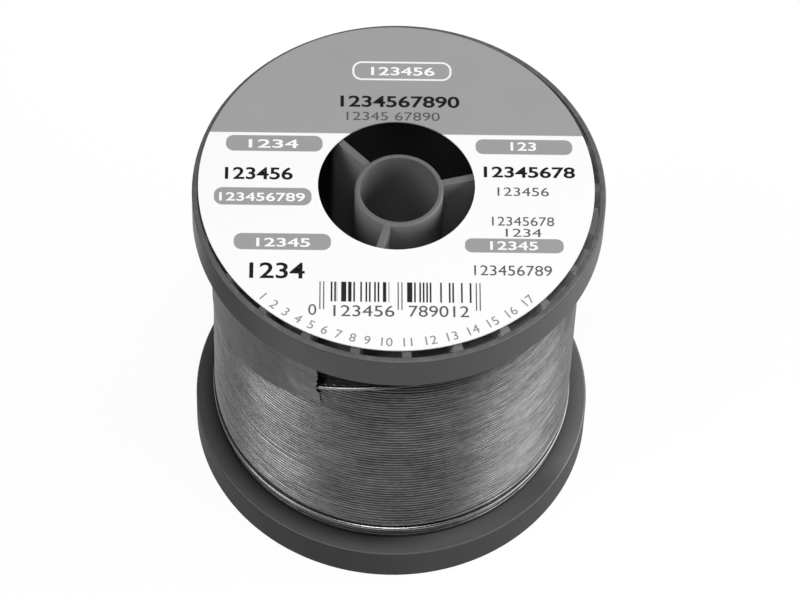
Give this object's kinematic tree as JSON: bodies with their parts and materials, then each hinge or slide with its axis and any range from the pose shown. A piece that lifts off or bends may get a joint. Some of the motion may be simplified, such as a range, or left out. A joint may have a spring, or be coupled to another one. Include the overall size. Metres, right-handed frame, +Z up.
{
  "type": "solder wire spool",
  "caption": "Flanged plastic spool wound full of solder wire, with ribbed flanges, a webbed hub with a spindle bore, a paper face label and tape over the wire's free end.",
  "frame": {"origin": "middle of the lower rim's plane, on the axis of the spindle bore", "axes": "+Z up along the spindle bore, from the plain flange to the labelled one; one rib of each flange points along +X"},
  "size_m": [0.063, 0.063, 0.0618],
  "materials": {
    "spool_plastic": "dark grey moulded plastic, slightly satin",
    "label_paper": "smooth white label paper with grey printed fields",
    "solder_wire": "dull silver tin-lead wire, drawn and wound",
    "tape_film": "matt translucent adhesive tape"
  },
  "bodies": {
    "root": {"lower_spool_half": "spool_plastic", "upper_spool_half": "spool_plastic", "face_label": "label_paper", "inner_winding": "solder_wire", "outer_turns": "solder_wire", "end_tape": "tape_film"}
  },
  "joints": []
}
